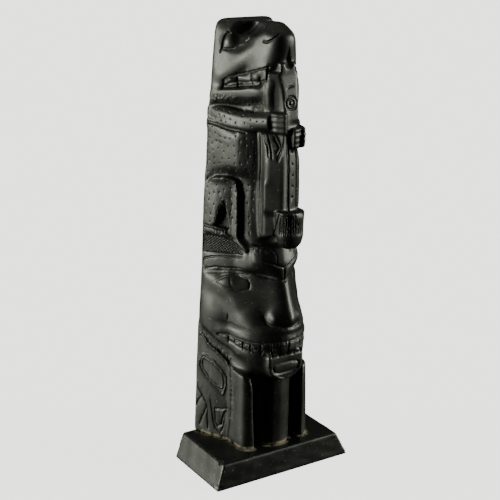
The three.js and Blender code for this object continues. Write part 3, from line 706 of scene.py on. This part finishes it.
def stone_surface():
    """Polished black stone: cloudy, dusty in hollows, rubbed on edges, with pale specks and old glue."""
    tree = bpy.data.node_groups.new("stone_surface", "ShaderNodeTree")
    sockets = (("INPUT", "Place", "Vector"), ("INPUT", "Hollow", "Float"), ("INPUT", "Seam", "Float"),
               ("INPUT", "Stone", "Color"), ("INPUT", "Gloss", "Float"), ("INPUT", "Dustiness", "Float"),
               ("OUTPUT", "Color", "Color"), ("OUTPUT", "Roughness", "Float"), ("OUTPUT", "Height", "Float"))
    for way, name, kind in sockets:
        tree.interface.new_socket(name, in_out=way, socket_type="NodeSocket" + kind)
    given = tree.nodes.new("NodeGroupInput").outputs
    result = tree.nodes.new("NodeGroupOutput").inputs
    place = given["Place"]
    cloud = speckle(tree, place, CLOUD_SCALE, 4.0, 0.62)
    patch = speckle(tree, place, PATCH_SCALE, 2.0)
    grain = speckle(tree, place, GRAIN_SCALE, 2.0)
    fine = speckle(tree, place, FINE_SCALE)
    specks = step(tree, speckle(tree, place, SPECK_SCALE), 0.775, 0.805)
    specks = times(tree, specks, step(tree, patch, 0.42, 0.60))
    dust = times(tree, step(tree, given["Hollow"], 0.07, 0.34), step(tree, patch, 0.25, 0.62))
    dust = times(tree, dust, given["Dustiness"])
    rubbed = times(tree, step(tree, given["Hollow"], -0.05, -0.22), step(tree, patch, 0.30, 0.60))
    glue = times(tree, step(tree, given["Seam"], 2.0, 0.4),
                 step(tree, plus(tree, patch, times(tree, cloud, 0.7)), 0.74, 0.90))
    dark = node(tree, "Mix", {"data_type": "RGBA", "blend_type": "MULTIPLY"}, i0=1.0, i6=given["Stone"],
                i7=(0.62, 0.62, 0.62, 1)).outputs[2]
    pale = node(tree, "Mix", {"data_type": "RGBA", "blend_type": "ADD"}, i0=0.5, i6=given["Stone"],
                i7=given["Stone"]).outputs[2]
    color = tinted(tree, step(tree, cloud, 0.32, 0.70), dark, pale)
    layers = ((rubbed, 0.55, WORN), (dust, 0.45, DUST), (specks, 0.7, SPECK), (glue, 0.85, GLUE))
    for mask, share, over in layers:
        color = tinted(tree, times(tree, mask, share), color, over)
    tree.links.new(color, result["Color"])
    gloss = plus(tree, given["Gloss"], times(tree, sums(tree, "SUBTRACT", cloud, 0.5), 0.30))
    gloss = plus(tree, gloss, times(tree, sums(tree, "SUBTRACT", grain, 0.5), 0.12))
    matt = sums(tree, "MAXIMUM", times(tree, dust, 0.32), times(tree, glue, 0.45))
    tree.links.new(plus(tree, gloss, matt), result["Roughness"])
    height = plus(tree, times(tree, grain, 0.5), times(tree, fine, 0.25))
    for share, relief in ((patch, 0.6), (glue, 1.5)):
        height = plus(tree, height, times(tree, share, relief))
    tree.links.new(height, result["Height"])
    return tree


def black_stone(name, surface, stone, gloss, dustiness, relief):
    """A stone material on the shared surface; relief is the height of its bump in millimetres."""
    material = bpy.data.materials.new(name)
    material.use_nodes = True
    tree = material.node_tree
    shader = tree.nodes["Principled BSDF"]
    place = tree.nodes.new("ShaderNodeTexCoord").outputs["Object"]
    read = [node(tree, "Attribute", {"attribute_name": source}).outputs["Fac"]
            for source in ("hollow", "seam")]
    coat = node(tree, "Group", {"node_tree": surface}, Place=place, Hollow=read[0], Seam=read[1],
                Stone=stone, Gloss=gloss, Dustiness=dustiness)
    bump = node(tree, "Bump", Height=coat.outputs["Height"], Distance=relief * MM, Strength=1.0)
    tree.links.new(coat.outputs["Color"], shader.inputs["Base Color"])
    tree.links.new(coat.outputs["Roughness"], shader.inputs["Roughness"])
    tree.links.new(bump.outputs["Normal"], shader.inputs["Normal"])
    shader.inputs["IOR"].default_value = STONE_IOR
    return material


# ---- pieces ----
surface = stone_surface()
pole_stone = black_stone("pole_stone", surface, (0.0048, 0.0056, 0.0047, 1), 0.41, 1.0, 0.030)
plinth_stone = black_stone("plinth_stone", surface, (0.0042, 0.0050, 0.0042, 1), 0.40, 0.8, 0.035)
pole = finished("pole_carving", pole_mesh(), pole_stone, "pole")
finished("plinth_block", plinth_mesh(), plinth_stone, "plinth")


# ---- floor, light and camera ----
FLOOR_HALF = 8  # metres
FLOOR_PAPER, FLOOR_GLOW = (0.30, 0.304, 0.297, 1), (1.0, 1.01, 0.985, 1)
FLOOR_IN_GLOSS = (0.012, 0.012, 0.012, 1)
ROOM_PALE = (0.80, 0.81, 0.81, 1)
ROOM_LIGHT, ROOM_DARK = 0.06, 0.0  # the room's glow in the stone's gloss: round about, and at the viewer
VIEWER_SIDE = Vector((-0.72, -0.68, -0.05)).normalized()
WINDOW_TINT = (1.0, 1.03, 0.88)


def stage_floor():
    """A plain pale table; in the stone's own gloss it shows dimmer than it does to the eye."""
    work = bmesh.new()
    bmesh.ops.create_grid(work, x_segments=1, y_segments=1, size=FLOOR_HALF)
    mesh = bpy.data.meshes.new("floor")
    work.to_mesh(mesh)
    work.free()
    floor = bpy.data.objects.new("floor", mesh)
    bpy.context.scene.collection.objects.link(floor)
    material = bpy.data.materials.new("floor_paper")
    material.use_nodes = True
    tree = material.node_tree
    tree.nodes.clear()
    paper = node(tree, "BsdfDiffuse", Color=FLOOR_PAPER).outputs[0]
    glow = node(tree, "Emission", Color=FLOOR_GLOW, Strength=2.4).outputs[0]
    lit = node(tree, "AddShader", i0=paper, i1=glow).outputs[0]
    dim = node(tree, "BsdfDiffuse", Color=FLOOR_IN_GLOSS).outputs[0]
    seen = node(tree, "LightPath").outputs["Is Camera Ray"]
    node(tree, "OutputMaterial", Surface=node(tree, "MixShader", i0=seen, i1=dim, i2=lit).outputs[0])
    mesh.materials.append(material)
    floor.visible_shadow = False


def soft_sun(name, toward, strength, spread):
    """A far, wide light: it shines from the direction toward, and spread is its width in degrees."""
    light = bpy.data.lights.new(name, "SUN")
    light.energy = strength
    light.color = WINDOW_TINT
    light.angle = math.radians(spread)
    lamp = bpy.data.objects.new(name, light)
    lamp.rotation_euler = Vector(toward).to_track_quat("Z", "Y").to_euler()
    bpy.context.scene.collection.objects.link(lamp)


def room():
    """Pale to the eye all round; in reflections, dim only towards the front left, where the viewer stands."""
    world = bpy.data.worlds.new("room")
    world.use_nodes = True
    tree = world.node_tree
    tree.nodes.clear()
    way = node(tree, "TexCoord").outputs["Generated"]
    facing = node(tree, "VectorMath", {"operation": "DOT_PRODUCT"}, i0=way, i1=VIEWER_SIDE).outputs["Value"]
    glow = node(tree, "MapRange", {"interpolation_type": "SMOOTHSTEP"}, Value=facing, From_Min=0.35,
                From_Max=0.85, To_Min=ROOM_LIGHT, To_Max=ROOM_DARK).outputs["Result"]
    mirror = node(tree, "Background", Strength=glow).outputs[0]
    pale = node(tree, "Background", Color=ROOM_PALE).outputs[0]
    seen = node(tree, "LightPath").outputs["Is Camera Ray"]
    node(tree, "OutputWorld", Surface=node(tree, "MixShader", i0=seen, i1=mirror, i2=pale).outputs[0])
    bpy.context.scene.world = world


AZIMUTH, PITCH, ROLL = -33.0, 17.1, 0.43  # degrees
YAW_OFFSET = 0.76  # degrees that the lens points past the pole's axis
REACH, EYE_HEIGHT = 0.458, 0.240  # metres from the pole's axis and above the table
FOCAL = 79.2  # mm on a 36 mm frame


def camera():
    data = bpy.data.cameras.new("camera")
    data.lens = FOCAL
    data.sensor_width = 36
    eye = bpy.data.objects.new("camera", data)
    around = math.radians(AZIMUTH)
    place = Matrix.Translation((math.sin(around) * REACH, -math.cos(around) * REACH, EYE_HEIGHT))
    turn = Matrix.Rotation(math.radians(AZIMUTH + YAW_OFFSET), 4, "Z")
    tip = Matrix.Rotation(math.radians(90 - PITCH), 4, "X")
    lean = Matrix.Rotation(math.radians(ROLL), 4, "Z")
    eye.matrix_world = place @ turn @ tip @ lean
    bpy.context.scene.collection.objects.link(eye)
    bpy.context.scene.camera = eye


stage_floor()
room()
camera()
soft_sun("window_left", (-0.90, 0.43, 0.0), 4.45, 33)
soft_sun("window_right", (0.82, -0.50, 0.16), 3.8, 34)
soft_sun("sky", (-0.10, 0.25, 1.0), 0.35, 70)
